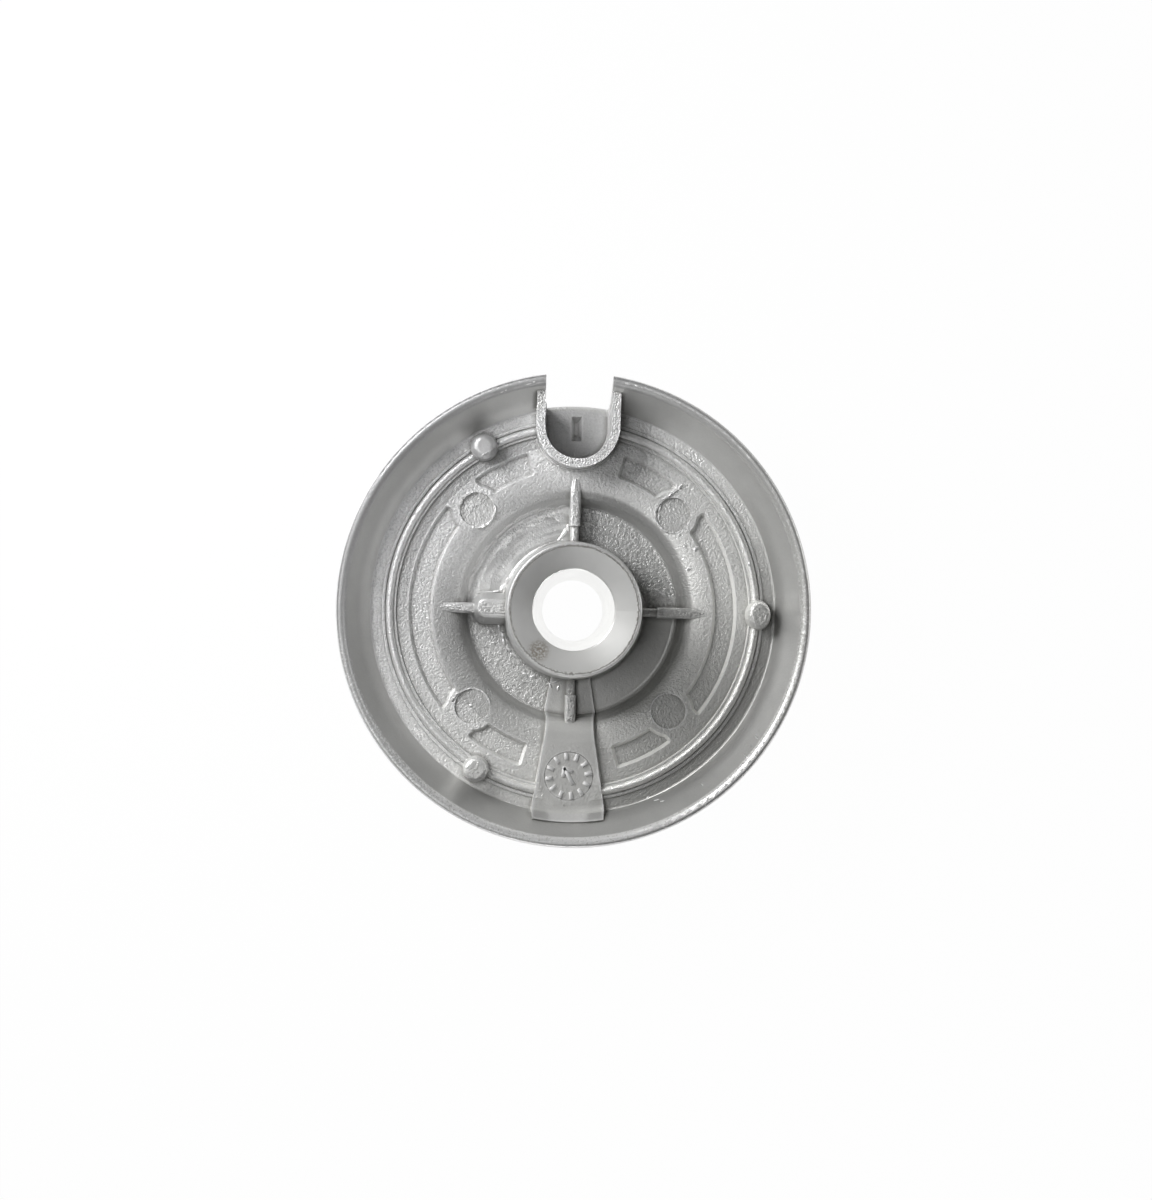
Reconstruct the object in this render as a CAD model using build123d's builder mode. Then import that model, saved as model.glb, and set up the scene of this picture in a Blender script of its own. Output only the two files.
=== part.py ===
from build123d import *
import os
from math import acos, cos, degrees, hypot, radians, sin, tan

# Gas burner head: one aluminium die casting, lying on its cap seat with the underside up.
# The cap seat is the plane z = 0, the throat axis is Z and the electrode notch faces +Y.

# Skirt and rim, measured inwards from the rim
rim_radius = 47.5
lip_width = 1.5
skirt_flare = 5.0
skirt_depth = 9.0
skirt_root_rounding = 3.0
wall = 2.0

# Ring floor, ridge, groove and bead around the underside
ring_floor_height = 9.5
ring_floor_width = 2.4
ring_floor_fillet = 0.5
ridge_width = 0.5
groove_width = 0.25
groove_depth = 0.25
bead_width = 1.5
bead_rise = 0.7
land_width = 0.7
land_rise = 0.3
step_slant = 0.2

# Inner flat with its shallow recesses and the collared ejector marks
flat_drop = 0.2
flat_margin = 2.35
recess_width = 4.9
recess_depth = 0.8
recess_draft = 38
recess_corner = 0.7
recess_gap_angle = 17
mark_count = 4
mark_radius = 3.5
mark_sink = 0.45
mark_collar_width = 0.3
mark_collar_rise = 0.15
mark_inset = 0.2
mark_island_margin = 1.2
mark_neck_width = 7.2

# Shoulder and well
shoulder_overlap = 0.4
shoulder_run = 7.4
crown_radius = 16.0
crown_angle = 13.7
well_depth = 4.3
well_fillet = 1.2

# Throat boss
throat_radius = 6.2
throat_length = 5.0
throat_exit_rounding = 1.0
taper_mouth_radius = 8.2
cone_depth = 3.5
boss_radius = 13.5
boss_lip_width = 0.9
boss_spread = 0.7
boss_height = 16.0
boss_rounding = 0.5
boss_fillet = 0.7

# Port ring on the flame side
port_ring_set_out = 1.0
port_ring_width = 4.5
port_ring_rounding = 0.4
port_count = 28
port_gap_angle = 36
port_width = 1.6
port_height = 3.6

# Ribs and locating post
rib_count = 4
rib_thickness = 2.2
rib_root_thickness = 1.7
rib_drop = 0.12
rib_step = 0.5
rib_step_reach = 3.7
rib_tip_inset = 1.3
rib_rounding = 0.7
post_angle = 180
post_width = 7.0
post_height = 9.0
post_end_inset = 0.4
post_draft = 9
post_rounding = 0.6

# Feet on the bead: angle, radial radius, tangential radius, rounding of the top
feet_sizes = [(0, 2.75, 3.3, 1.0), (120, 3.0, 3.0, 1.3), (240, 2.9, 2.9, 0.9)]
foot_height = 4.0
foot_slant = 0.6
foot_set_out = 0.5

# Electrode notch
notch_angle = 90
notch_floor = 2.2
notch_floor_radius = 6.25
notch_wall = 1.75
notch_draft = 1.0
notch_ledge = 0.2
notch_ledge_rise = 5.8
notch_rim_rise = 6.5
notch_foot_ledge = 0.35
notch_foot_rise = 0.25
spark_pocket_mouth = (2.2, 5.1)
spark_pocket_bottom = (0.7, 2.6)
spark_pocket_depth = 1.1
spark_pocket_set_out = 0.3

# Raised strip that carries the date dial
strip_angle = 270
strip_half_angle = 9.5
strip_side_offset = 0.65
strip_well_rise = 1.0
strip_cover = 0.2
strip_flat_start_inset = 2.0
strip_shoulder_radius = 5.7
strip_ramp_angle = 45
strip_ramp_rounding = 2.0
strip_reach = 1.6
strip_end_rise = 0.7
strip_draft = 12
dial_radius = 5.0
dial_groove_width = 0.25
dial_groove_depth = 0.12

# Radii worked inwards from the rim
rim_rounding = lip_width / 2
lip_rounding = 0.8 * lip_width
slope_foot_radius = rim_radius - lip_width - skirt_flare
ridge_radius = slope_foot_radius - ring_floor_width
bead_outer_radius = ridge_radius - ridge_width - groove_width
bead_radius = bead_outer_radius - bead_width / 2
bead_inner_radius = bead_outer_radius - bead_width
step_radius = bead_inner_radius - land_width
recess_outer_radius = step_radius - flat_margin
recess_inner_radius = recess_outer_radius - recess_width
shoulder_radius = recess_inner_radius + shoulder_overlap
well_radius = shoulder_radius - shoulder_run
mark_ring_radius = recess_inner_radius - mark_inset
foot_ring_radius = bead_radius + foot_set_out
port_ring_radius = slope_foot_radius + port_ring_set_out
port_ring_inner_radius = port_ring_radius - port_ring_width
port_ring_mid_radius = port_ring_radius - port_ring_width / 2
chamber_inner_radius = well_radius + wall
cone_mouth_radius = boss_radius - boss_lip_width
boss_base_radius = boss_radius + boss_spread

# Heights above the cap seat
rim_height = ring_floor_height + skirt_depth
land_height = ring_floor_height + land_rise
bead_height = land_height + bead_rise
groove_height = land_height - groove_depth
flat_height = ring_floor_height - flat_drop
mark_height = flat_height - mark_sink
well_height = flat_height - well_depth
disc_height = well_height - wall
chamber_height = flat_height - wall
boss_top = well_height + boss_height
cone_bottom = boss_top - cone_depth
throat_top = disc_height + throat_exit_rounding + throat_length
rib_top = flat_height - rib_drop
post_top = well_height + post_height
foot_top = ring_floor_height + foot_height
notch_rim = ring_floor_height + notch_rim_rise
strip_height = bead_height + strip_cover

# Outer face of the skirt, parallel to its inner slope
slope_length = hypot(skirt_flare, skirt_depth)
slope_rise = skirt_depth / skirt_flare
skirt_shift = wall * slope_length / skirt_flare
rim_corner_height = ring_floor_height + (rim_radius - slope_foot_radius) * slope_rise - skirt_shift
skirt_root_height = ring_floor_height + port_ring_set_out * slope_rise - skirt_shift


def slope_height(radius):
    """Height of the skirt's inner slope at a radius."""
    return ring_floor_height + (radius - slope_foot_radius) * slope_rise


def skirt_middle(radius):
    """Point in the middle of the skirt's wall, straight in from its inner slope at a radius."""
    sideways = wall / 2 * skirt_depth / slope_length
    downwards = wall / 2 * skirt_flare / slope_length
    return (radius + sideways, slope_height(radius) - downwards)


def radial_plane(angle):
    """Upright plane through the axis, its x axis pointing outwards at the angle."""
    turn = radians(angle)
    return Plane(origin=(0, 0, 0), x_dir=(cos(turn), sin(turn), 0), z_dir=(sin(turn), -cos(turn), 0))


def plan_plane(angle, radius, height):
    """Level plane at a point on a circle, its x axis pointing outwards."""
    turn = radians(angle)
    outwards = (cos(turn), sin(turn), 0)
    return Plane(origin=(radius * cos(turn), radius * sin(turn), height), x_dir=outwards, z_dir=(0, 0, 1))


def plate_middle():
    """Points along the middle of the plate, from the well to the inner flat."""
    return [
        (well_radius + wall / 2, well_height - wall / 2),
        (well_radius + wall / 2, well_height),
        (shoulder_radius - shoulder_run / 2, flat_height - wall / 2 - well_depth / 8),
        (shoulder_radius, flat_height - wall / 2),
    ]


def rib_blade(angle, start, end, top, thickness):
    """Upright blade from the boss towards the shoulder, with its top edges rounded."""
    floor_points = [point for point in plate_middle() if point[0] < end]
    with BuildPart() as blade:
        with BuildSketch(radial_plane(angle)):
            with BuildLine():
                Polyline(
                    (start, well_height - wall / 2),
                    *floor_points,
                    (end, flat_height - wall / 2 if end > well_radius else well_height - wall / 2),
                    (end, top),
                    (start, top),
                    close=True,
                )
            make_face()
        extrude(amount=thickness / 2, both=True)
        top_face = blade.faces().sort_by(Axis.Z)[-1]
        radial_edges = top_face.edges().sort_by(SortBy.LENGTH)[-2:]
        fillet(radial_edges, radius=rib_rounding)
    return blade.part


def foot(angle, radial, tangential, rounding):
    """Tapered peg on the bead with a rounded flat top."""
    root_height = flat_height - wall / 2
    with BuildPart() as peg:
        with BuildSketch(plan_plane(angle, foot_ring_radius, root_height)):
            Ellipse(radial, tangential)
        with BuildSketch(plan_plane(angle, foot_ring_radius, foot_top)):
            Ellipse(radial - foot_slant, tangential - foot_slant)
        loft()
        fillet(peg.faces().sort_by(Axis.Z)[-1].edges(), radius=rounding)
    return peg.part


ribs = []
for index in range(rib_count):
    rib_angle = notch_angle + index * 360 / rib_count
    rib_step_radius = boss_radius + rib_step_reach
    rib_root_end = rib_step_radius + rib_step
    ribs.append(rib_blade(rib_angle, cone_mouth_radius, rib_root_end, rib_top - rib_step, rib_root_thickness))
    ribs.append(rib_blade(rib_angle, rib_step_radius, shoulder_radius - rib_tip_inset, rib_top, rib_thickness))

feet = [foot(*sizes) for sizes in feet_sizes]

with BuildPart() as post:
    post_end = well_radius - post_end_inset - post_width / 2
    post_root = cone_mouth_radius - cone_depth / 2
    with BuildSketch(plan_plane(post_angle, 0, well_height - wall / 2)):
        with Locations((post_end, 0)):
            Circle(post_width / 2)
        with Locations(((post_root + post_end) / 2, 0)):
            Rectangle(post_end - post_root, post_width)
    extrude(amount=post_height + wall / 2, taper=post_draft)
    fillet(post.faces().sort_by(Axis.Z)[-1].edges(), radius=post_rounding)

with BuildPart() as dial_strip:
    strip_start = shoulder_radius - strip_flat_start_inset
    strip_well_height = well_height + strip_well_rise
    strip_drop = strip_height - strip_well_height
    strip_crown_angle = degrees(acos(1 - strip_drop / strip_shoulder_radius))
    strip_end = slope_foot_radius + strip_reach
    strip_end_height = slope_height(strip_end) + strip_end_rise
    ramp_start = strip_end - (strip_end_height - strip_height) / tan(radians(strip_ramp_angle))
    with BuildSketch(radial_plane(strip_angle - 3 * strip_half_angle)) as strip_section:
        with BuildLine():
            strip_crown = JernArc((strip_start, strip_height), (-1, 0), strip_shoulder_radius, strip_crown_angle)
            Polyline(
                strip_crown @ 1,
                (boss_radius, strip_well_height),
                (boss_radius, well_height - wall / 2),
                *plate_middle(),
                skirt_middle(slope_foot_radius),
                skirt_middle(strip_end),
                (strip_end, strip_end_height),
                (ramp_start, strip_height),
                strip_crown @ 0,
            )
        make_face()
        ramp_corner = strip_section.vertices().sort_by_distance((ramp_start, strip_height, 0))[0]
        fillet(ramp_corner, radius=strip_ramp_rounding)
    revolve(axis=Axis.Z, revolution_arc=6 * strip_half_angle)
    side_spread = strip_side_offset + (strip_height - disc_height) * tan(radians(strip_draft))
    side_start = boss_radius / 2
    with BuildSketch(plan_plane(strip_angle, 0, disc_height)):
        with BuildLine():
            near_half_width = side_start * tan(radians(strip_half_angle)) + side_spread
            far_half_width = rim_radius * tan(radians(strip_half_angle)) + side_spread
            Polyline(
                (side_start, near_half_width),
                (side_start, -near_half_width),
                (rim_radius, -far_half_width),
                (rim_radius, far_half_width),
                close=True,
            )
        make_face()
    extrude(amount=rim_height, taper=strip_draft, mode=Mode.INTERSECT)

with BuildPart() as notch_housing:
    notch_spread = (notch_rim - notch_floor) * tan(radians(notch_draft))
    notch_rim_radius = notch_floor_radius + notch_ledge + notch_spread
    housing_radius = notch_rim_radius + notch_wall
    ledge_radius = housing_radius + notch_foot_ledge
    for radius, height in [(housing_radius, notch_rim), (ledge_radius, flat_height + notch_foot_rise)]:
        with BuildSketch(plan_plane(notch_angle, 0, 0)):
            with Locations((bead_radius, 0)):
                Circle(radius)
            with Locations(((bead_radius + rim_radius) / 2, 0)):
                Rectangle(rim_radius - bead_radius, 2 * radius)
        extrude(amount=height)
    with BuildSketch(Plane.XZ):
        with BuildLine():
            Polyline(
                (0, 0),
                (port_ring_radius, 0),
                (port_ring_radius, skirt_root_height),
                (rim_radius, rim_corner_height),
                (rim_radius, rim_height),
                (0, rim_height),
                close=True,
            )
        make_face()
    revolve(axis=Axis.Z, mode=Mode.INTERSECT)

with BuildPart() as burner_head:
    # Turned section of the casting
    with BuildSketch(Plane.XZ) as section:
        with BuildLine():
            Polyline(
                (throat_radius, disc_height),
                (throat_radius, throat_top),
                (taper_mouth_radius, cone_bottom),
                (cone_mouth_radius, boss_top),
                (boss_radius, boss_top),
                (boss_base_radius, well_height),
                (well_radius, well_height),
            )
            crown = JernArc((shoulder_radius, flat_height), (-1, 0), crown_radius, crown_angle)
            TangentArc(crown @ 1, (well_radius, well_height), tangent=crown % 1)
            Polyline(
                (shoulder_radius, flat_height),
                (step_radius, flat_height),
                (step_radius + step_slant, land_height),
                (bead_inner_radius, land_height),
            )
            ThreePointArc(
                (bead_inner_radius, land_height),
                (bead_radius, bead_height),
                (bead_outer_radius, groove_height),
            )
            Polyline(
                (bead_outer_radius, groove_height),
                (bead_outer_radius + groove_width / 2, groove_height),
                (bead_outer_radius + groove_width, land_height),
                (ridge_radius, land_height),
                (ridge_radius + step_slant, ring_floor_height),
                (slope_foot_radius, ring_floor_height),
                (rim_radius - lip_width, rim_height),
                (rim_radius, rim_height),
                (rim_radius, rim_corner_height),
                (port_ring_radius, skirt_root_height),
                (port_ring_radius, 0),
                (port_ring_inner_radius, 0),
                (port_ring_inner_radius, chamber_height),
                (shoulder_radius, chamber_height),
            )
            chamber_crown = JernArc((shoulder_radius, chamber_height), (-1, 0), crown_radius - wall, crown_angle)
            TangentArc(
                chamber_crown @ 1,
                (chamber_inner_radius, well_height),
                tangent=chamber_crown % 1,
            )
            Polyline(
                (chamber_inner_radius, well_height),
                (chamber_inner_radius, disc_height),
                (throat_radius, disc_height),
            )
        make_face()
        roundings = [
            ((throat_radius, disc_height), throat_exit_rounding),
            ((boss_radius, boss_top), boss_rounding),
            ((boss_base_radius, well_height), boss_fillet),
            ((well_radius, well_height), well_fillet),
            ((slope_foot_radius, ring_floor_height), ring_floor_fillet),
            ((rim_radius - lip_width, rim_height), lip_rounding),
            ((rim_radius, rim_height), rim_rounding),
            ((port_ring_radius, skirt_root_height), skirt_root_rounding),
            ((port_ring_radius, 0), port_ring_rounding),
        ]
        for (radius, height), rounding in roundings:
            corner = section.vertices().sort_by_distance((radius, height, 0))[0]
            fillet(corner, radius=rounding)
    revolve(axis=Axis.Z)

    # Shallow recesses in the inner flat
    with BuildSketch(Plane.XY.offset(flat_height)) as recesses:
        Circle(recess_outer_radius)
        Circle(recess_inner_radius, mode=Mode.SUBTRACT)
        with PolarLocations(mark_ring_radius, mark_count, start_angle=180 / mark_count):
            Circle(mark_radius + mark_island_margin, mode=Mode.SUBTRACT)
            Rectangle(
                step_radius - mark_ring_radius,
                mark_neck_width,
                align=(Align.MIN, Align.CENTER),
                mode=Mode.SUBTRACT,
            )
        gap_half_width = step_radius * tan(radians(recess_gap_angle))
        for side in (step_radius, -step_radius):
            with BuildLine():
                Polyline((0, 0), (gap_half_width, side), (-gap_half_width, side), close=True)
            make_face(mode=Mode.SUBTRACT)
        fillet(recesses.vertices(), radius=recess_corner)
    extrude(amount=-recess_depth, taper=recess_draft, mode=Mode.SUBTRACT)

    # Flat ejector marks at the edge of the shoulder, each inside a low collar
    collar_root = chamber_height + wall / 2
    with BuildSketch(Plane.XY.offset(collar_root)):
        with PolarLocations(mark_ring_radius, mark_count, start_angle=180 / mark_count):
            Circle(mark_radius + mark_collar_width)
    extrude(amount=mark_height + mark_collar_rise - collar_root)
    with BuildSketch(Plane.XY.offset(mark_height)):
        with PolarLocations(mark_ring_radius, mark_count, start_angle=180 / mark_count):
            Circle(mark_radius)
    extrude(amount=mark_sink + land_rise, mode=Mode.SUBTRACT)

    # Ribs, post, feet, strip and notch housing
    add(ribs)
    add(post.part)
    add(feet)
    add(dial_strip.part)
    add(notch_housing.part)

    # Electrode notch through the skirt, wider above its ledge, and the spark pocket in its floor
    ledge_spread = notch_ledge + notch_ledge_rise * tan(radians(notch_draft))
    for rise, radius in [(0, notch_floor_radius), (notch_ledge_rise, notch_floor_radius + ledge_spread)]:
        with BuildSketch(plan_plane(notch_angle, 0, notch_floor + rise)):
            with Locations((bead_radius, 0)):
                Circle(radius)
            with Locations((rim_radius, 0)):
                Rectangle(2 * (rim_radius - bead_radius), 2 * radius)
        extrude(amount=rim_height, taper=-notch_draft, mode=Mode.SUBTRACT)
    spark_pocket_radius = bead_radius + spark_pocket_set_out
    with BuildSketch(plan_plane(notch_angle, spark_pocket_radius, notch_floor)):
        Rectangle(spark_pocket_mouth[1], spark_pocket_mouth[0])
    with BuildSketch(plan_plane(notch_angle, spark_pocket_radius, notch_floor - spark_pocket_depth)):
        Rectangle(spark_pocket_bottom[1], spark_pocket_bottom[0])
    loft(mode=Mode.SUBTRACT)

    # Circle of the date dial
    dial_center_radius = (strip_start + ramp_start) / 2
    with BuildSketch(plan_plane(strip_angle, dial_center_radius, strip_height)):
        Circle(dial_radius)
        Circle(dial_radius - dial_groove_width, mode=Mode.SUBTRACT)
    extrude(amount=-dial_groove_depth, mode=Mode.SUBTRACT)

    # Flame ports, open at the cap seat
    with BuildSketch():
        with PolarLocations(
            port_ring_mid_radius,
            port_count,
            start_angle=notch_angle + port_gap_angle / 2,
            angular_range=360 - port_gap_angle,
            endpoint=True,
        ):
            Rectangle(2 * port_ring_width, port_width)
    extrude(amount=port_height, mode=Mode.SUBTRACT)

burner_head.part.label = "burner_head"
os.makedirs("parts", exist_ok=True)
export_step(burner_head.part, "parts/burner_head.step")
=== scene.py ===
from math import atan2, cos, degrees, prod, radians, sin
from types import SimpleNamespace

import bmesh
import bpy
from mathutils import Matrix, Vector


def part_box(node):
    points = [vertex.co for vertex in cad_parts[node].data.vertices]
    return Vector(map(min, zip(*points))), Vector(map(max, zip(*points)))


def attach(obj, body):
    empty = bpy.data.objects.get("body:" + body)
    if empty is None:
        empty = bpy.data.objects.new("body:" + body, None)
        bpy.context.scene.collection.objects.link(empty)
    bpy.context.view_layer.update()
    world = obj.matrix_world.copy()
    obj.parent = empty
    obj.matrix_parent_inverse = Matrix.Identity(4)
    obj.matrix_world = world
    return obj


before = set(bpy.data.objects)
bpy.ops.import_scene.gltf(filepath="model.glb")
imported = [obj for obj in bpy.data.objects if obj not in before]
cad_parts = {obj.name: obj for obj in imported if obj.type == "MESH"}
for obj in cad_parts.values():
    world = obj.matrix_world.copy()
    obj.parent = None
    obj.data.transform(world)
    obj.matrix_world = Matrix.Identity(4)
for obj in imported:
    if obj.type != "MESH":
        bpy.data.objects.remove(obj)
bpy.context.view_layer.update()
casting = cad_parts["burner_head"]

MM = 0.001

# The photograph's frame and the rim in it, in pixels and degrees
FRAME_HEIGHT = 1200
FRAME_CENTRE = (576.0, 600.0)
RIM_CENTRE = (574.0, 609.9)
RIM_PIXELS = 238.3
PHOTO_TURN = 1.5

# Camera, in millimetres: its place beside the throat axis, above the rim, and its film
CAMERA_ASIDE = (-15.0, -7.0)
CAMERA_ABOVE = 550.0
FILM = 36.0

# Lamps: azimuth and elevation in degrees, distance and width in metres, and watts
LAMPS = {
    "key": (143, 33, 0.20, 0.12, 0.45),
    "overhead": (190, 70, 0.30, 0.16, 0.135),
    "right_fill": (14, 13, 0.7, 0.34, 0.95),
    "near_fill": (266, 12, 0.7, 0.34, 0.85),
}
WORLD_STRENGTH = 0.0

# Floor: its size in metres, how far it lies below the casting in millimetres, and how white it is seen
FLOOR_SIZE = 20.0
FLOOR_GAP = 0.05
FLOOR_WHITENESS = 0.985

# The casting's own sizes, in millimetres
RIM_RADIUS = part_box("burner_head")[1].x / MM
RIM_HEIGHT = 18.5
DIAL_PLACE = 33.5
STRIP_TOP = 10.7
MARK_RING = 28.2
MARK_RADIUS = 3.65
MARK_COLLAR = 9.0
LIP_RADIUS = 47.0
SLOPE_FOOT = 41.0
SLOPE_WIDTH = 5.0

# Date dial, in millimetres and degrees: each bar's length, width and height, and where it stands
TICKS = 12
TICK_BAR = (1.5, 0.75, 0.26)
TICK_RING = 4.0
TICK_TURN = 8.0
SHAFT_BAR = (3.8, 0.75, 0.26)
BARB_BAR = (2.1, 0.7, 0.26)
BARB_BACK = 0.75
BARB_SPREAD = 38.0
ARROW_TIP = 1.8
ARROW_TURN = 30.0

# Flash round the ejector marks: bearing, thickness, and the spans of degrees where it stands
MARK_BURRS = [
    (135.0, 0.24, [
        (95, 165), (172, 200), (208, 238), (246, 262), (270, 300),
        (306, 325), (335, 20), (28, 40), (60, 88),
    ]),
    (45.0, 0.21, [(120, 215), (222, 250), (256, 275), (283, 310), (318, 345), (20, 60)]),
    (225.0, 0.15, [(95, 175), (200, 330)]),
    (315.0, 0.13, [(300, 80)]),
]
FLASH_STEPS = 90
FLASH_SIDES = 6

# How far the points of flash stray, as a share of its thickness, and those of a flake, of its size
FLASH_STRAY = 0.45
FLAKE_STRAY = 0.13

# Scratches on the ejector marks: their direction, how close and how short they are, and where they fade
SCRATCH_SLANT = 108.0
SCRATCH_CLOSENESS = 5.5
SCRATCH_SHORTNESS = 0.4
SCRATCHED_DISC = (3.35, 3.45)

# Each mark's bearing, and how strong the scratches are there
MARK_SCRATCHES = [(135.0, 0.80), (45.0, 0.55), (225.0, 0.35), (315.0, 0.20)]

# Flakes and nicks by the photograph's pixels: column, row, length, width, height and turn
WELL_FLAKES = [
    (499, 627, 1.6, 0.7, 0.3, -70), (502, 635, 1.9, 0.8, 0.35, -60), (504, 642, 1.5, 0.6, 0.3, -80),
    (508, 649, 1.7, 0.6, 0.35, -45), (514, 655, 2.0, 0.5, 0.3, -40), (525, 674, 1.2, 0.5, 0.25, -20),
    (533, 676, 1.2, 0.5, 0.25, 15), (550, 685, 1.5, 0.5, 0.25, -60), (556, 682, 1.5, 0.5, 0.25, 10),
    (558, 688, 1.2, 0.5, 0.25, 80), (480, 592, 2.2, 0.35, 0.2, 2), (489, 592, 2.4, 0.4, 0.2, 4),
    (497, 591, 1.8, 0.5, 0.25, 10), (503, 587, 2.4, 0.8, 0.3, 55), (507, 580, 1.8, 0.5, 0.3, 65),
    (564, 533, 2.3, 0.9, 0.3, 65), (568, 528, 1.6, 0.6, 0.3, 95), (560, 538, 1.4, 0.5, 0.25, 50),
    (663, 594, 1.8, 0.4, 0.2, -30), (671, 598, 1.5, 0.4, 0.2, -50), (657, 590, 1.3, 0.4, 0.2, -20),
]
MARK_FLAKES = [
    (461, 502, 1.1, 0.6, 0.35, 60), (464, 497, 1.2, 0.6, 0.35, 40), (468, 494, 1.1, 0.5, 0.35, 25),
    (472, 492, 0.9, 0.5, 0.3, 10), (495, 507, 0.9, 0.6, 0.3, 80), (671, 494, 1.6, 0.5, 0.35, 40),
    (675, 491, 1.5, 0.55, 0.35, 30), (680, 487, 1.3, 0.5, 0.35, 50), (666, 498, 1.3, 0.45, 0.3, 20),
    (660, 508, 1.6, 0.4, 0.3, 75), (659, 516, 1.6, 0.4, 0.3, 88), (471, 705, 0.6, 0.5, 0.15, 0),
    (471, 709, 0.6, 0.5, 0.15, 0), (453, 699, 1.4, 0.5, 0.3, 50), (457, 694, 1.4, 0.5, 0.3, 40),
]
SHOULDER_NICKS = [
    (696, 549, 1.3, 0.8, 0.25, 50), (689, 569, 1.2, 0.7, 0.25, 30), (702, 540, 0.7, 0.5, 0.2, 0),
    (749, 564, 1.0, 0.5, 0.25, 70), (679, 535, 0.8, 0.5, 0.2, 0), (685, 546, 0.8, 0.4, 0.2, 20),
]
RIM_FLAKES = [
    (502, 392, 0.8, 0.25, 0.12, 24), (506, 390, 0.4, 0.25, 0.10, 20), (529, 384, 1.2, 0.25, 0.12, 12),
    (534, 382, 0.6, 0.30, 0.10, 8), (757, 738, 1.6, 0.30, 0.12, -52), (752, 747, 0.9, 0.25, 0.10, -50),
    (746, 757, 1.8, 0.32, 0.12, -47), (743, 764, 0.8, 0.25, 0.10, -44), (703, 785, 0.9, 0.25, 0.10, -30),
    (629, 384, 1.4, 0.4, 0.18, -12), (637, 386, 1.2, 0.4, 0.18, -20), (657, 800, 1.4, 0.3, 0.12, 15),
    (663, 801, 1.0, 0.25, 0.12, 10), (648, 797, 0.8, 0.25, 0.12, 30),
]

# Zones of the finish: the limits of each, as zone_masks explains them, and the spans over which they fade
ZONES = {
    "throat": {"within": (8.2, 8.4)},
    "bore_end": {"within": (6.5, 6.6), "below": (0.25, 0.40), "upper_left": (0.47, 0.51)},
    "cone": {"beyond": (8.3, 8.4), "within": (12.6, 12.7), "above": (17.2, 17.4)},
    "boss_top": {"beyond": (12.5, 12.6), "within": (13.6, 13.7), "above": (20.0, 20.3)},
    "torn_brim": {"beyond": (12.3, 12.4), "within": (13.6, 13.7), "above": (19.8, 20.1)},
    "boss_side": {
        "beyond": (13.1, 13.2), "within": (14.6, 14.7), "above": (5.5, 6.0), "below": (20.0, 20.5),
    },
    "well": {"beyond": (13.2, 13.6), "within": (21.0, 21.4), "below": (5.4, 5.8)},
    "far_well": {"notchward": (2.0, 4.0), "leftward": (-4.0, -1.0), "below": (6.2, 6.8)},
    "wall": {"beyond": (20.6, 21.0), "within": (23.2, 23.6), "below": (7.2, 7.8)},
    "inner_shoulder": {"beyond": (21.1, 22.0), "within": (23.8, 24.7), "upper_right": (0.58, 0.76)},
    "painted_shade_low_shoulder": {"beyond": (21.2, 21.6), "within": (26.0, 26.4), "below": (6.6, 8.9)},
    "shoulder": {"beyond": (22.8, 23.2), "within": (28.6, 29.0)},
    "rib_tops": {
        "beyond": (13.5, 13.8), "within": (26.6, 26.9), "above": (8.2, 8.4),
        "notchward": (-22.6, -22.2), "level": (0.5, 0.8),
    },
    "flats": {"beyond": (28.5, 28.6), "within": (38.6, 38.7), "below": (12.0, 12.5)},
    "land": {"beyond": (33.4, 33.5), "within": (36.2, 36.3), "upper_left": (0.68, 0.95)},
    "steps": {
        "beyond": (28.0, 28.2), "within": (36.3, 36.5), "above": (8.4, 8.5), "below": (9.8, 9.9),
        "steep": (0.75, 0.95), "lower_right": (0.22, 0.42),
    },
    "foot_tops": {
        "beyond": (33.8, 34.0), "within": (41.0, 41.2), "above": (12.2, 12.8), "stripward": (30.0, 31.0),
    },
    "bead": {"beyond": (36.2, 36.3), "within": (37.9, 38.0), "above": (9.6, 9.8), "below": (10.55, 10.7)},
    "ring_floor": {"beyond": (38.4, 38.5), "within": (40.9, 41.0), "below": (10.0, 10.2)},
    "painted_highlight_foot_line": {"beyond": (40.86, 40.92), "within": (41.08, 41.14), "below": (9.9, 10.1)},
    "pocket": {"notchward": (29.0, 29.5), "below": (15.6, 15.8)},
    "notch_rim": {
        "notchward": (27.0, 28.0), "above": (15.7, 15.9), "below": (16.3, 16.5), "level": (0.80, 0.95),
    },
    "strip": {"stripward": (-27.0, -26.5), "above": (10.55, 10.6), "below": (13.2, 13.25)},
    "strip_ramp": {"notchward": (-27.2, -27.0), "stripward": (-22.6, -22.4), "above": (8.0, 8.4)},
    "slope": {"beyond": (41.0, 41.1), "below": (17.2, 17.6)},
    "lip": {"beyond": (44.6, 45.4), "above": (17.2, 17.6)},
    "outer_lip": {"beyond": (46.6, 47.1), "above": (17.2, 17.6)},
    "rim_edge": {"beyond": (47.20, 47.35), "above": (17.4, 17.7)},
    "outside": {"beyond": (41.4, 41.6), "below": (17.4, 17.7), "steep": (0.0, 0.2)},
    # Where the painted shade in corners is lessened
    "clean_well_edge": {"beyond": (19.3, 19.6), "within": (22.6, 22.9), "upper_left": (0.42, 0.50)},
    "clean_groove": {"beyond": (36.2, 36.3), "within": (38.5, 38.6), "lower_right": (0.5, 0.8)},
    "clean_slope_foot": {"beyond": (40.5, 40.6), "within": (41.6, 41.7)},
}

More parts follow.
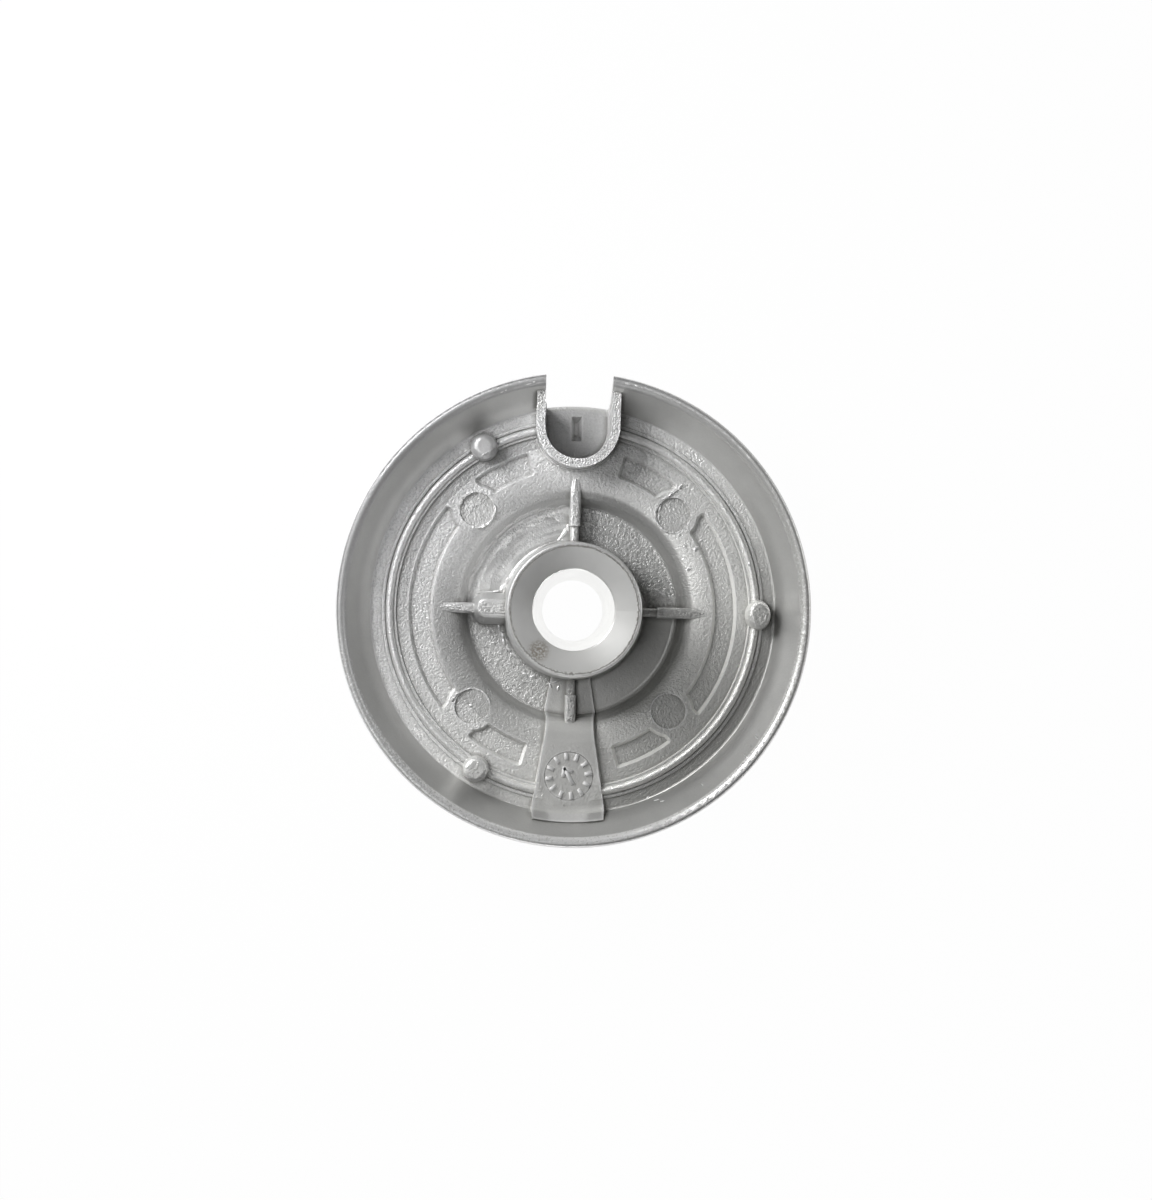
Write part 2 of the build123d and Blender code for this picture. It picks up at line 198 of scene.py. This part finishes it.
# Outlines that aren't round or that waver, in millimetres, with the spans over which they fade
RIB_HALF_WIDTH = (0.95, 1.15)
RIB_TAPER_START = 19.5
NOTCH_ARC = 37.1
POCKET_RADIUS = (6.6, 6.8)
RAMP_HALF_WIDTH = (5.6, 5.9)
SHINY_EDGE = (-1.0, 1.0)
# Painted light: the slope greys paler towards the bottom over this span of Y
PAINTED_LIGHT_SLOPE_END = (-44.0, -34.0)
# Ring of the well's bright band, painted highlight with flow marks, and how far it wavers
FLOW_HIGHLIGHT_RING = (19.2, 21.6, 0.3)
FLOW_WAVER = 5.0
TORN_RING = (13.16, 13.36, 0.08)
STAIN_PLACE = (-6.8, -8.3)
STAIN_RADIUS = (3.4, 4.8)
STAIN_WAVER = 4.0

# Outlines that come from products of two places, in square millimetres
STRIP_OUTLINE = (60.0, 75.0)
QUARTER_EDGE = (-6.0, 6.0)

# How fast the ribs and the strip narrow outwards
RIB_TAPER = 0.13
STRIP_NARROWING = 0.03

# Lengths, in millimetres, over which painted light and shade lean across the casting or the boss
CASTING_LEAN = 113.0
BOSS_PAINTED_LIGHT_LEAN = 36.0

# Direction of the shoulder's side darkened by painted shade
PAINTED_SHADE_SIDE = (-0.87, -0.50)

# Depth of the grain, and the reach of painted shade in corners and of painted highlights on edges, in
# millimetres
GRAIN_DEPTH = 0.23
CORNER_SHADE_REACH = 1.1
EDGE_HIGHLIGHT_REACH = 0.7

# Angle, in degrees, past which an added piece keeps a sharp edge
SHARP_ANGLE = 35

# Colours
WORN_METAL = (0.93, 0.93, 0.93, 1)
TORN_EDGE = (0.16, 0.15, 0.13, 1)
BROWN_STAIN = (0.17, 0.13, 0.08, 1)
# Painted shade in the corners
CORNER_SHADE = (0.20, 0.195, 0.18, 1)
# Painted highlight on the edges
EDGE_HIGHLIGHT = (0.95, 0.95, 0.95, 1)
SCRAPED_DISC = (0.42, 0.42, 0.41, 1)
BRIGHT_SCRATCH = (0.90, 0.90, 0.90, 1)
BURR_SHADE = (0.78, 0.78, 0.77, 1)
BURR_BRIGHT = (0.97, 0.97, 0.97, 1)
FLOOR_PALE = (0.85, 0.85, 0.85, 1)
WHITE = (1, 1, 1, 1)


class Shade:
    """A socket of a material: arithmetic on it adds Math nodes, and add() makes any other node."""

    def __init__(self, tree, socket=None):
        self.tree = tree
        self.socket = socket

    def add(self, kind, settings=None, inputs=None, output=0):
        node = self.tree.nodes.new(kind)
        for name, setting in (settings or {}).items():
            setattr(node, name, setting)
        for name, value in (inputs or {}).items():
            if isinstance(value, Shade):
                self.tree.links.new(value.socket, node.inputs[name])
            else:
                node.inputs[name].default_value = value
        return Shade(self.tree, node.outputs[output] if node.outputs else None)

    def math(self, operation, first, second=0.0):
        return self.add("ShaderNodeMath", {"operation": operation}, {0: first, 1: second})

    def __add__(self, other):
        return self.math("ADD", self, other)

    __radd__ = __add__

    def __sub__(self, other):
        return self.math("SUBTRACT", self, other)

    def __rsub__(self, other):
        return self.math("SUBTRACT", other, self)

    def __mul__(self, other):
        return self.math("MULTIPLY", self, other)

    __rmul__ = __mul__

    def __truediv__(self, other):
        return self.math("DIVIDE", self, other)

    def __pow__(self, other):
        return self.math("POWER", self, other)

    def __abs__(self):
        return self.math("ABSOLUTE", self)

    def rise(self, low, high):
        """0 below low, 1 above high, smooth between."""
        return self.add(
            "ShaderNodeMapRange",
            {"interpolation_type": "SMOOTHSTEP"},
            {"Value": self, "From Min": low, "From Max": high},
        )

    def fall(self, low, high):
        """1 below low, 0 above high, smooth between."""
        return 1 - self.rise(low, high)

    def band(self, low, high, soft):
        """1 between low and high, with soft edges outside them."""
        return self.rise(low - soft, low) * self.fall(high, high + soft)

    def between(self, under, over):
        """The value under where this is 0, and the value over where it is 1."""
        return under + (over - under) * self

    def tint(self, under, over):
        """The colour under where this is 0, and the colour over where it is 1."""
        return self.add("ShaderNodeMix", {"data_type": "RGBA"}, {0: self, 6: under, 7: over}, output=2)

    def noise(self, scale, detail=2.0, roughness=0.5):
        """Noise that takes this vector as its place."""
        inputs = {"Vector": self, "Scale": scale, "Detail": detail, "Roughness": roughness}
        return self.add("ShaderNodeTexNoise", {}, inputs)

    def vector(self, **parts):
        """A vector with the named parts X, Y and Z."""
        return self.add("ShaderNodeCombineXYZ", {}, parts)


def new_material(name):
    """An empty material and the Shade that starts its expressions."""
    material = bpy.data.materials.new(name)
    material.use_nodes = True
    material.node_tree.nodes.clear()
    return material, Shade(material.node_tree)


def set_surface(shade, surface):
    """Makes a shader the material's surface."""
    shade.add("ShaderNodeOutputMaterial", {}, {"Surface": surface})


def places(shade):
    """Where a point lies on the casting, in millimetres, which way it faces, and how far across it is."""
    coordinates = shade.add("ShaderNodeTexCoord", output="Object")
    normal = shade.add("ShaderNodeTexCoord", output="Normal")
    place = shade.add("ShaderNodeVectorMath", {"operation": "SCALE"}, {0: coordinates, "Scale": 1 / MM})
    x, y, z = (shade.add("ShaderNodeSeparateXYZ", {}, {0: place}, output=axis) for axis in "XYZ")
    return SimpleNamespace(
        place=place,
        x=x,
        y=y,
        z=z,
        facing=shade.add("ShaderNodeSeparateXYZ", {}, {0: normal}, output="Z"),
        radius=(x * x + y * y) ** 0.5,
        bearing=shade.math("ARCTAN2", y, x),
        side=(y - x) / CASTING_LEAN + 0.5,
        upper=(x + y) / CASTING_LEAN + 0.5,
        flow=place.noise(0.22),
    )


def distance_from(at, centre_x, centre_y):
    """Distance in plan from an upright axis."""
    return ((at.x - centre_x) ** 2.0 + (at.y - centre_y) ** 2.0) ** 0.5


def zone_masks(at):
    """
    A mask for each zone, 1 where it lies, cut to its outline where it isn't round.

    In millimetres, beyond and within are radii, above and below are heights, notchward and stripward
    run along Y, and leftward along X. As shares from 0 to 1, upper_left, lower_right and upper_right run
    across the casting as the photograph shows it, and level and steep say how far the surface faces up.
    """
    limits = {
        "beyond": at.radius.rise,
        "within": at.radius.fall,
        "above": at.z.rise,
        "below": at.z.fall,
        "notchward": at.y.rise,
        "stripward": at.y.fall,
        "leftward": at.x.fall,
        "upper_left": at.side.rise,
        "lower_right": at.side.fall,
        "upper_right": at.upper.rise,
        "level": at.facing.rise,
        "steep": at.facing.fall,
    }
    zone = SimpleNamespace()
    for name, spans in ZONES.items():
        setattr(zone, name, prod(limits[limit](*span) for limit, span in spans.items()))

    beside_rib = at.x.math("MINIMUM", abs(at.x), abs(at.y))
    past_taper = at.x.math("MAXIMUM", at.radius - RIB_TAPER_START, 0.0)
    zone.rib_tops *= (beside_rib + RIB_TAPER * past_taper).fall(*RIB_HALF_WIDTH)
    below_arc = at.y.math("MINIMUM", at.y - NOTCH_ARC, 0.0)
    zone.pocket *= ((at.x * at.x + below_arc * below_arc) ** 0.5).fall(*POCKET_RADIUS)
    zone.strip *= (at.x * at.x + STRIP_NARROWING * at.y * at.y).fall(*STRIP_OUTLINE)
    zone.strip_ramp *= abs(at.x).fall(*RAMP_HALF_WIDTH)
    zone.even_well = zone.well * (at.x * at.y).fall(*QUARTER_EDGE)
    zone.shiny_well = zone.even_well * at.y.rise(*SHINY_EDGE)
    # Bright band round the well's corner: painted highlight with flow marks in it
    zone.flow_band = zone.far_well * (at.radius + FLOW_WAVER * (at.flow - 0.5)).band(*FLOW_HIGHLIGHT_RING)
    # Where the painted shade in corners is lessened
    zone.clean_corner = zone.clean_well_edge + zone.clean_groove + zone.clean_slope_foot
    return zone


def painted_light_greys(at):
    """Painted light and shade: greys by side, where the lamps alone don't give the photograph's levels."""
    side, upper = at.side, at.upper
    foot_grey = side.between(0.38, 0.97)
    rim_grey = upper.rise(0.4, 1.0).between(0.53, 0.74)
    rimward = ((at.radius - SLOPE_FOOT) / SLOPE_WIDTH).rise(0.0, 0.5)
    # Painted shade on the lower-left side of the shoulder
    painted_shade_side = ((PAINTED_SHADE_SIDE[0] * at.x + PAINTED_SHADE_SIDE[1] * at.y) / at.radius).rise(0.60, 0.95)
    # Painted light and shade on the ring floor: darker to the lower right, paler away from the lower left
    painted_light_ring_floor = upper.rise(0.0, 0.4).between(0.84, 1.0)
    # Each grey below is painted light and shade; the bead and the foot line get painted highlights
    return SimpleNamespace(
        slope=rimward.between(foot_grey, rim_grey) + 0.12 * at.y.fall(*PAINTED_LIGHT_SLOPE_END),
        shoulder=painted_shade_side.between(0.73, 0.52) + 0.10 * upper.rise(0.55, 0.80),
        painted_shade_low_shoulder=side.rise(0.48, 0.62).between(0.28, 0.42),
        flats=side.rise(0.0, 0.35).between(0.62, 0.76) + 0.14 * upper.rise(0.55, 0.85),
        ring_floor=side.rise(0.02, 0.40).between(0.46, painted_light_ring_floor),
        painted_highlight_foot_line=side.between(0.56, 0.97),
        bead=side.between(0.88, 0.99),
        # Painted shade: the outer lip darkens steeply towards the upper left
        outer_lip=side.rise(0.55, 1.0).between(0.84, 0.17),
        # Painted light: the cone paler to the upper left, the boss top paler to the lower right
        cone=((at.y - at.x) / BOSS_PAINTED_LIGHT_LEAN + 0.5).between(0.41, 0.83),
        boss_top=((at.x - at.y) / BOSS_PAINTED_LIGHT_LEAN + 0.5).between(0.42, 0.92),
    )


def laid_finishes(at, zone):
    """Grey, share of metal, roughness and grain, from the zones' finishes laid one over the other."""
    grey = painted_light_greys(at)
    # The outer lip's metal share leans with the painted shade on it
    outer_lip_metal = at.side.rise(0.55, 1.0).between(0.70, 0.40)
    flats_grain = at.side.between(0.5, 1.1)
    ring_floor_grain = at.side.between(0.4, 0.9)
    laid = (0.60, 0.55, 0.42, 0.2)
    finishes = [
        (zone.boss_side, 0.62, 0.55, 0.42, 0.15),
        (zone.slope, grey.slope, 0.82, 0.40, 0.10),
        (zone.shoulder, grey.shoulder, 0.45, 0.42, 0.6),
        # Painted shade on the inner shoulder on the upper-right side
        (zone.inner_shoulder, 0.44, 0.50, 0.42, 0.4),
        # Painted shade on the low, steep part of the shoulder, darkest towards the lower right
        (zone.painted_shade_low_shoulder, grey.painted_shade_low_shoulder, 0.60, 0.42, 0.3),
        (zone.wall, 0.54, 0.80, 0.44, 0.2),
        (zone.well, 0.64, 0.50, 0.40, 1.25),
        (zone.even_well, 0.72, 0.50, 0.38, 0.15),
        (zone.shiny_well, 0.66, 0.60, 0.30, 0.25),
        # Painted highlight with flow marks in a band round the well's corner, upper left
        (zone.flow_band, 0.84, 0.45, 0.38, 0.9),
        (zone.flats, grey.flats, 0.45, 0.40, flats_grain),
        # Painted shadow of the bead on the land, on the upper-left side
        (zone.land, 0.52, 0.50, 0.40, 0.9),
        # Painted highlight on the steep recess walls on the lower-right side
        (zone.steps, 0.93, 0.50, 0.40, 0.1),
        (zone.ring_floor, grey.ring_floor, 0.50, 0.36, ring_floor_grain),
        # Painted highlight along the foot of the slope, brighter to the upper left
        (zone.painted_highlight_foot_line, grey.painted_highlight_foot_line, 0.50, 0.44, 0.0),
        (zone.foot_tops, 0.70, 0.50, 0.40, 0.8),
        (zone.bead, grey.bead, 0.60, 0.34, 0.6),
        (zone.pocket, 0.60, 0.55, 0.42, 0.4),
        (zone.rib_tops, 0.60, 0.55, 0.40, 1.2),
        (zone.notch_rim, 0.76, 0.50, 0.36, 1.6),
        (zone.strip, 0.68, 0.50, 0.38, 0.2),
        (zone.strip_ramp, 0.66, 0.50, 0.40, 0.12),
        (zone.lip, 0.54, 0.45, 0.42, 0.3),
        (zone.outer_lip, grey.outer_lip, outer_lip_metal, 0.46, 0.3),
        (zone.rim_edge, 0.75, 0.50, 0.42, 0.1),
        (zone.outside, 0.46, 0.40, 0.48, 0.5),
        (zone.cone, grey.cone, 0.25, 0.56, 0.0),
        (zone.boss_top, grey.boss_top, 0.45, 0.42, 0.3),
        (zone.throat, 0.97, 0.90, 0.22, 0.0),
        (zone.bore_end, 0.30, 0.50, 0.40, 0.0),
    ]
    for mask, *finish in finishes:
        laid = [mask.between(under, over) for under, over in zip(laid, finish)]
    return laid


def die_grain(at, zone, grey, grainy):
    """Colour and height of the die's grain, coarser in the well, with bright specks and dark pits in it."""
    grain = at.place.noise(zone.well.between(1.9, 1.5) + 1.2 * zone.bead + 0.6 * zone.notch_rim, 2.0, 0.6)
    fleck = at.place.noise(2.8, 1.0)
    speck = fleck.rise(0.60, 0.70)
    pit = fleck.fall(0.32, 0.42)
    streak = at.place.vector(X=0.9 * at.radius, Y=2.2 * at.bearing).noise(1.0, 3.0, 0.55)
    grey = grey * (1 + 0.32 * zone.shiny_well * (streak.rise(0.38, 0.62) - 0.6))
    grey = grey * (0.93 + 0.14 * at.flow)
    grey = grey * (1 + grainy * (0.6 * grain - 0.3 + 0.20 * speck - 0.15 * pit))
    # Painted shade in the colour: less blue, so warmer, towards the lower right; the slope keeps one slight
    # warmth
    painted_shade_warmth = zone.slope.between(0.962 + 0.045 * at.side, 0.985)
    colour = grey.add("ShaderNodeCombineColor", {}, {"Red": grey, "Green": grey, "Blue": grey * painted_shade_warmth})
    return colour, (grain + 0.2 * speck - 0.2 * pit) * grainy * GRAIN_DEPTH


def lip_and_boss_wear(at, zone, colour, rough):
    """Worn lip, torn edge of the boss, stain on the cone and the marks of turning it."""
    patch = at.place.noise(2.2, 3.0, 0.65)
    worn = zone.lip * (patch - 0.24 * at.y / LIP_RADIUS + 0.06 * at.x / LIP_RADIUS).rise(0.52, 0.72)
    colour = (0.75 * worn).tint(colour, WORN_METAL)
    torn = zone.torn_brim * (at.radius + patch).band(*TORN_RING)
    colour = (0.85 * torn).tint(colour, TORN_EDGE)
    near_stain = (distance_from(at, *STAIN_PLACE) + STAIN_WAVER * patch).fall(*STAIN_RADIUS)
    stain = zone.cone * near_stain * patch.rise(0.40, 0.55)
    colour = (0.7 * stain).tint(colour, BROWN_STAIN)
    turned = at.place.vector(X=at.radius).noise(5.0, 1.0)
    return colour, rough - 0.12 * worn + 0.16 * zone.cone * (turned - 0.5)


def corner_shade_and_edge_highlight(zone, colour):
    """Painted shade in the corners, and painted highlights on the edges."""
    near = {"samples": 3, "only_local": True}
    inside = {"samples": 3, "only_local": True, "inside": True}
    corner = colour.add("ShaderNodeAmbientOcclusion", near, {"Distance": CORNER_SHADE_REACH * MM}, output="AO")
    crest = colour.add("ShaderNodeAmbientOcclusion", inside, {"Distance": EDGE_HIGHLIGHT_REACH * MM}, output="AO")
    # Painted shade in the corners, kept off the recess walls and lessened in a few places
    corner_shade = (1 - corner).rise(0.08, 0.50) * (1 - zone.steps) * (1 - 0.7 * zone.clean_corner)
    colour = (0.80 * corner_shade).tint(colour, CORNER_SHADE)
    # Painted highlight on the edges, kept off the throat and the cone and mostly off the lip
    edge = (1 - crest).rise(0.14, 0.40) * (1 - zone.throat) * (1 - zone.cone) * (1 - 0.85 * zone.lip)
    return (0.75 * edge).tint(colour, EDGE_HIGHLIGHT)


def mark_scratches(at, colour):
    """Slanted scratches on the ejector marks."""
    scraped = sum(
        strength * distance_from(at, *mark_centre(bearing)).fall(*SCRATCHED_DISC)
        for bearing, strength in MARK_SCRATCHES
    )
    slant = radians(SCRATCH_SLANT)
    across = (at.x * sin(slant) - at.y * cos(slant)) * SCRATCH_CLOSENESS
    along = (at.x * cos(slant) + at.y * sin(slant)) * SCRATCH_SHORTNESS
    scratch = at.place.vector(X=across, Y=along).noise(1.0, 1.0, 0.6).rise(0.50, 0.62)
    colour = (0.6 * scraped).tint(colour, SCRAPED_DISC)
    return (scraped * scratch).tint(colour, BRIGHT_SCRATCH)


def cast_skin():
    """Cast skin of the head: its grain, polish, wear and painted light and shade follow the place on it."""
    material, shade = new_material("cast_skin")
    at = places(shade)
    zone = zone_masks(at)
    grey, metal, rough, grainy = laid_finishes(at, zone)
    colour, height = die_grain(at, zone, grey, grainy)
    colour, rough = lip_and_boss_wear(at, zone, colour, rough)
    colour = corner_shade_and_edge_highlight(zone, colour)
    colour = mark_scratches(at, colour)
    bump = shade.add("ShaderNodeBump", {}, {"Strength": 1.0, "Distance": MM, "Height": height})
    sockets = {"Base Color": colour, "Metallic": metal, "Roughness": rough, "Normal": bump}
    set_surface(shade, shade.add("ShaderNodeBsdfPrincipled", {}, sockets))
    return material


def bright_burr():
    """Torn, freshly bared metal of burrs, flash and raised marks."""
    material, shade = new_material("bright_burr")
    patch = shade.add("ShaderNodeTexCoord", output="Object").noise(1200.0)
    colour = patch.tint(BURR_SHADE, BURR_BRIGHT)
    sockets = {"Base Color": colour, "Metallic": 0.4, "Roughness": 0.28 + 0.15 * patch}
    set_surface(shade, shade.add("ShaderNodeBsdfPrincipled", {}, sockets))
    return material


def white_floor():
    """Pale floor that the camera and the metal see as white, with the object's shadow on it."""
    material, shade = new_material("white_floor")
    rays = ("Is Camera Ray", "Is Glossy Ray", "Is Transmission Ray")
    seen = sum(shade.add("ShaderNodeLightPath", output=ray) for ray in rays)
    seen_white = shade.math("MINIMUM", seen, 1.0) * FLOOR_WHITENESS
    pale = shade.add("ShaderNodeBsdfDiffuse", {}, {"Color": FLOOR_PALE})
    white = shade.add("ShaderNodeEmission", {}, {"Color": WHITE, "Strength": 1.0})
    set_surface(shade, shade.add("ShaderNodeMixShader", {}, {0: seen_white, 1: pale, 2: white}))
    return material


def add_floor():
    bpy.ops.object.select_all(action="DESELECT")
    bpy.ops.mesh.primitive_plane_add(size=FLOOR_SIZE, location=(0, 0, -FLOOR_GAP * MM))
    floor = bpy.context.object
    floor.name = "floor"
    floor.data.materials.append(white_floor())


def sight():
    """Where the camera stands, and its right, up and ahead, to put the rim where the photograph has it."""
    mm_per_pixel = RIM_RADIUS / RIM_PIXELS
    right_of_rim = (FRAME_CENTRE[0] - RIM_CENTRE[0]) * mm_per_pixel
    above_rim = (RIM_CENTRE[1] - FRAME_CENTRE[1]) * mm_per_pixel
    turn = radians(PHOTO_TURN)
    across = Vector((cos(turn), sin(turn), 0))
    upwards = Vector((-sin(turn), cos(turn), 0))
    target = (right_of_rim * across + above_rim * upwards + Vector((0, 0, RIM_HEIGHT))) * MM
    stand = Vector((*CAMERA_ASIDE, RIM_HEIGHT + CAMERA_ABOVE)) * MM
    ahead = (target - stand).normalized()
    right = ahead.cross(upwards).normalized()
    return stand, right, right.cross(ahead), ahead


def spot(column, row):
    """The place on the casting that a pixel of the photograph shows."""
    stand, right, up, ahead = sight()
    focal = RIM_PIXELS * CAMERA_ABOVE / RIM_RADIUS
    ray = ahead + right * ((column - FRAME_CENTRE[0]) / focal) + up * ((FRAME_CENTRE[1] - row) / focal)
    return casting.ray_cast(stand, ray.normalized())[1]


def add_camera():
    data = bpy.data.cameras.new("camera")
    camera = bpy.data.objects.new("camera", data)
    bpy.context.scene.collection.objects.link(camera)
    bpy.context.scene.camera = camera
    data.sensor_width = FILM
    data.sensor_fit = "VERTICAL"
    data.sensor_height = FILM
    data.lens = FILM * RIM_PIXELS / FRAME_HEIGHT * CAMERA_ABOVE / RIM_RADIUS
    stand, right, up, ahead = sight()
    turned = Matrix((right, up, -ahead)).transposed().to_4x4()
    camera.matrix_world = Matrix.Translation(stand) @ turned


def add_softbox(name, azimuth, elevation, distance, width, watts):
    """Round soft lamp that faces the casting from a direction seen in plan."""
    data = bpy.data.lights.new(name, "AREA")
    data.shape = "DISK"
    data.size = width
    data.energy = watts
    lamp = bpy.data.objects.new(name, data)
    bpy.context.scene.collection.objects.link(lamp)
    level = cos(radians(elevation))
    turn = radians(azimuth)
    towards = Vector((level * cos(turn), level * sin(turn), sin(radians(elevation))))
    lamp.location = towards * distance
    lamp.rotation_euler = towards.to_track_quat("Z", "Y").to_euler()


def add_world(strength):
    world = bpy.data.worlds.new("studio")
    bpy.context.scene.world = world
    world.use_nodes = True
    background = world.node_tree.nodes["Background"]
    background.inputs["Color"].default_value = WHITE
    background.inputs["Strength"].default_value = strength


def open_piece(name):
    """An empty mesh at the origin, in edit mode, for the primitives that follow."""
    bpy.ops.object.select_all(action="DESELECT")
    bpy.ops.object.add(type="MESH", enter_editmode=True, location=(0, 0, 0))
    piece = bpy.context.object
    piece.name = name
    return piece


def close_piece(piece, finish):
    """Faces outward, soft shading, its finish, and its place on the casting."""
    bpy.ops.mesh.select_all(action="SELECT")
    bpy.ops.mesh.normals_make_consistent(inside=False)
    bpy.ops.object.mode_set(mode="OBJECT")
    bpy.ops.object.shade_smooth_by_angle(angle=radians(SHARP_ANGLE))
    piece.data.materials.append(finish)
    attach(piece, "root")


def turn_about(centre, degrees_round):
    """Turns what is selected about an upright axis."""
    bpy.ops.transform.rotate(value=-radians(degrees_round), orient_axis="Z", center_override=centre)


def add_bar(centre, length, width, height):
    """Raised bar along Y with a softened top, its foot sunk into the casting."""
    bpy.ops.mesh.select_all(action="DESELECT")
    bpy.ops.mesh.primitive_cube_add(size=MM, location=centre)
    bpy.ops.transform.resize(value=(width, length, 2 * height), center_override=centre)
    bpy.ops.mesh.bevel(offset=0.4 * height * MM, segments=2, affect="EDGES")


def add_flake(place, length, width, height, degrees_round, seed):
    """Torn flake of metal, half sunk in the casting."""
    bpy.ops.mesh.select_all(action="DESELECT")
    bpy.ops.mesh.primitive_ico_sphere_add(subdivisions=2, radius=MM / 2, location=place)
    bpy.ops.transform.vertex_random(offset=FLAKE_STRAY * MM, uniform=1.0, normal=0.0, seed=seed)
    bpy.ops.transform.resize(value=(length, width, 2 * height), center_override=place)
    turn_about(place, degrees_round)


def fallen_faces(mesh, centre, kept):
    """Numbers of the selected faces that lie outside the kept spans of degrees."""
    mesh.faces.index_update()
    fallen = set()
    for face in mesh.faces:
        arm = face.calc_center_median() - centre
        bearing = round(degrees(atan2(arm.y, arm.x))) % 360
        standing = any((bearing - start) % 360 <= (end - start) % 360 for start, end in kept)
        if face.select and not standing:
            fallen.add(face.index)
    return fallen


def add_torn_ring(piece, centre, radius, thickness, kept, seed):
    """Ring of flash round a circle, left standing only over the kept spans of degrees."""
    bpy.ops.mesh.select_all(action="DESELECT")
    bpy.ops.mesh.primitive_torus_add(
        location=centre,
        major_radius=radius * MM,
        minor_radius=thickness * MM,
        major_segments=FLASH_STEPS,
        minor_segments=FLASH_SIDES,
    )
    fallen = fallen_faces(bmesh.from_edit_mesh(piece.data), centre, kept)
    bpy.ops.transform.vertex_random(offset=FLASH_STRAY * thickness * MM, uniform=1.0, normal=0.0, seed=seed)
    mesh = bmesh.from_edit_mesh(piece.data)
    for face in mesh.faces:
        face.select_set(face.index in fallen)
    bmesh.update_edit_mesh(piece.data)
    bpy.ops.mesh.delete(type="FACE")
    bpy.ops.mesh.select_all(action="SELECT")
    bpy.ops.mesh.fill_holes(sides=0)


def mark_centre(bearing):
    """Where an ejector mark lies in plan, in millimetres."""
    return MARK_RING * cos(radians(bearing)), MARK_RING * sin(radians(bearing))


def dial_marks(finish):
    """Plain ticks and an arrow on the date dial."""
    piece = open_piece("dial_marks")
    middle = Vector((0, -DIAL_PLACE, STRIP_TOP)) * MM
    for number in range(TICKS):
        add_bar(middle + Vector((0, TICK_RING, 0)) * MM, *TICK_BAR)
        turn_about(middle, number * 360 / TICKS + TICK_TURN)
    add_bar(middle, *SHAFT_BAR)
    turn_about(middle, ARROW_TURN)
    tip = middle + Vector((0, ARROW_TIP, 0)) * MM
    for side in (-1, 1):
        add_bar(tip - Vector((0, BARB_BACK, 0)) * MM, *BARB_BAR)
        turn_about(tip, BARB_SPREAD * side)
        turn_about(middle, ARROW_TURN)
    close_piece(piece, finish)


def mark_burrs(finish):
    """Flash squeezed up round the four ejector marks."""
    piece = open_piece("mark_burrs")
    for bearing, thickness, kept in MARK_BURRS:
        centre = Vector((*mark_centre(bearing), MARK_COLLAR)) * MM
        add_torn_ring(piece, centre, MARK_RADIUS, thickness, kept, int(bearing))
    close_piece(piece, finish)


def flakes(name, spots, finish):
    """Flakes at pixels of the photograph: column, row, length, width, height and turn."""
    piece = open_piece(name)
    for number, (column, row, length, width, height, turn) in enumerate(spots):
        add_flake(spot(column, row), length, width, height, turn, number)
    close_piece(piece, finish)


bpy.context.scene.view_settings.view_transform = "Standard"
add_camera()
add_floor()
for lamp_name, lamp_row in LAMPS.items():
    add_softbox(lamp_name, *lamp_row)
add_world(WORLD_STRENGTH)

casting.data.materials.clear()
casting.data.materials.append(cast_skin())
bright = bright_burr()
dial_marks(bright)
mark_burrs(bright)
flakes("well_flakes", WELL_FLAKES, bright)
flakes("mark_flakes", MARK_FLAKES, bright)
flakes("shoulder_nicks", SHOULDER_NICKS, bright)
flakes("rim_flakes", RIM_FLAKES, bright)
